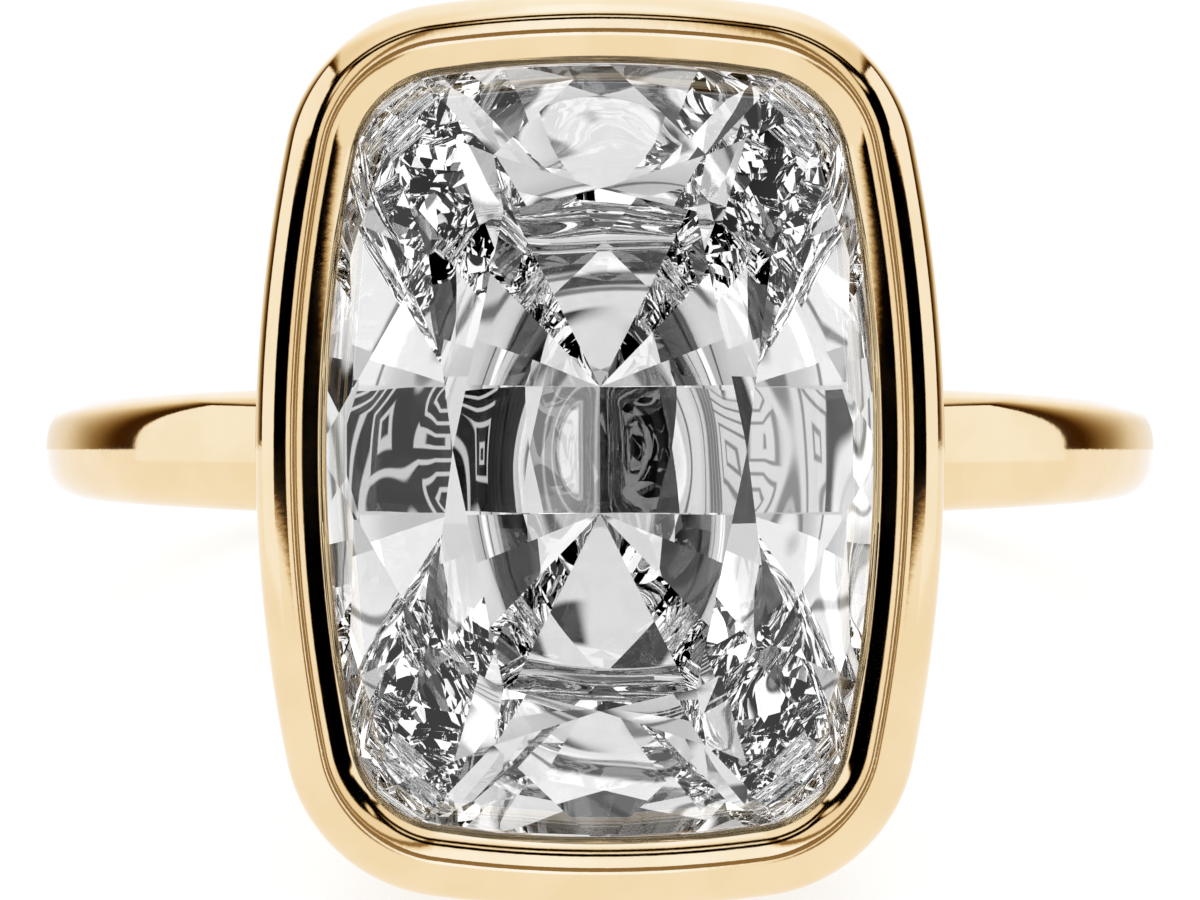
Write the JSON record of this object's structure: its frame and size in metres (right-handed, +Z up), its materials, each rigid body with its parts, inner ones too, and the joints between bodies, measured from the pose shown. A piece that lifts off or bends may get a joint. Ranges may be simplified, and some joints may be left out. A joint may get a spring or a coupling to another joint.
{
  "type": "bezel set ring",
  "caption": "Slim half-round finger ring carrying an elongated cushion-cut stone in a tall tapered bezel cup with a rounded rim, lying on its side.",
  "frame": {"origin": "on the surface it rests on, under the centre of its bounding box, with the ring lying on its side", "axes": "-Y towards the stone's side, +X across the finger, +Z up; the finger's axis leans back 14.3 degrees from +Z towards +Y"},
  "size_m": [0.02, 0.0248, 0.0127],
  "materials": {
    "yellow_gold": "mirror polished yellow gold",
    "clear_stone": "colourless cut and polished"
  },
  "bodies": {
    "root": {"mounting": "yellow_gold", "stone": "clear_stone"}
  },
  "joints": []
}
